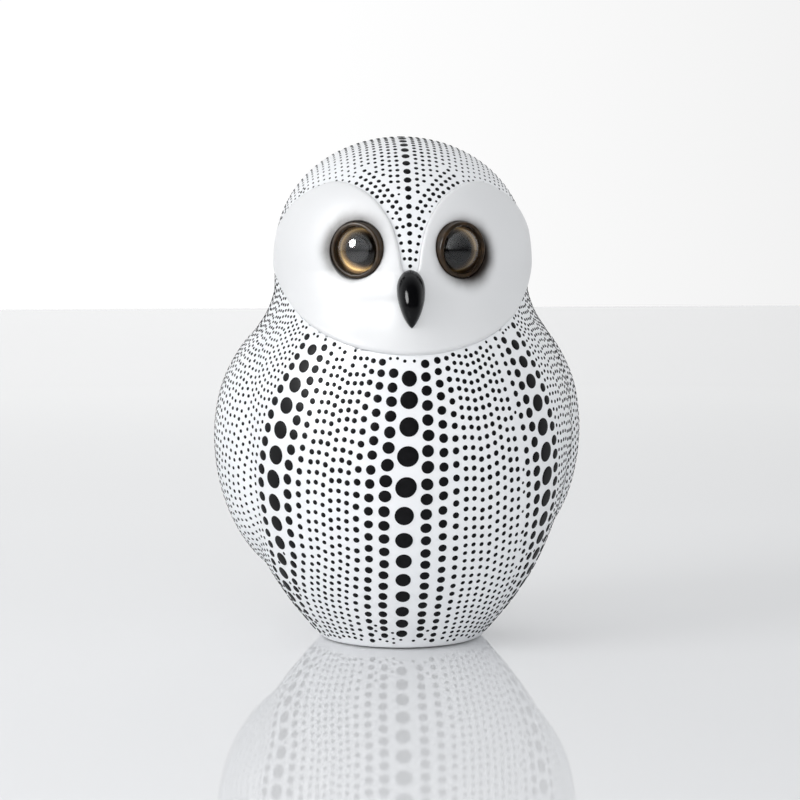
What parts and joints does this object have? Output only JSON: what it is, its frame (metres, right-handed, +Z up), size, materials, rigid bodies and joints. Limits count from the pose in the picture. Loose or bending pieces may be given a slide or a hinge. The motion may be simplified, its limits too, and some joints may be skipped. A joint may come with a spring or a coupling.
{
  "type": "owl figurine",
  "caption": "Free-standing hollow cast owl figurine with a raised face mask, glass eyes, a black beak and a closed, padded base.",
  "frame": {"origin": "centre of the base pad's underside, on the surface that the owl stands on", "axes": "+Z up through the crown, the owl looks along -Y, and +X is the owl's own left"},
  "size_m": [0.1468, 0.14, 0.2],
  "materials": {
    "white_lacquer": "white lacquer on cast resin, satin gloss",
    "face_lacquer": "white lacquer on cast resin, airbrushed brown-black round the eyes",
    "black_enamel": "glossy black enamel",
    "eye_rim": "dark brown gloss",
    "bronze_iris": "bronze foil with a gold ring",
    "clear_glass": "clear polished glass",
    "grey_rubber": "soft matt rubber",
    "pad_foam": "fine-celled foam, matt"
  },
  "bodies": {
    "root": {"body_shell": "white_lacquer", "face_mask": "face_lacquer", "beak": "black_enamel", "eye_rim_right": "eye_rim", "eye_rim_left": "eye_rim", "eye_iris_right": "bronze_iris", "eye_iris_left": "bronze_iris", "eye_pupil_right": "black_enamel", "eye_pupil_left": "black_enamel", "eye_lens_right": "clear_glass", "eye_lens_left": "clear_glass", "base_plug": "grey_rubber", "base_pad": "pad_foam"}
  },
  "joints": []
}
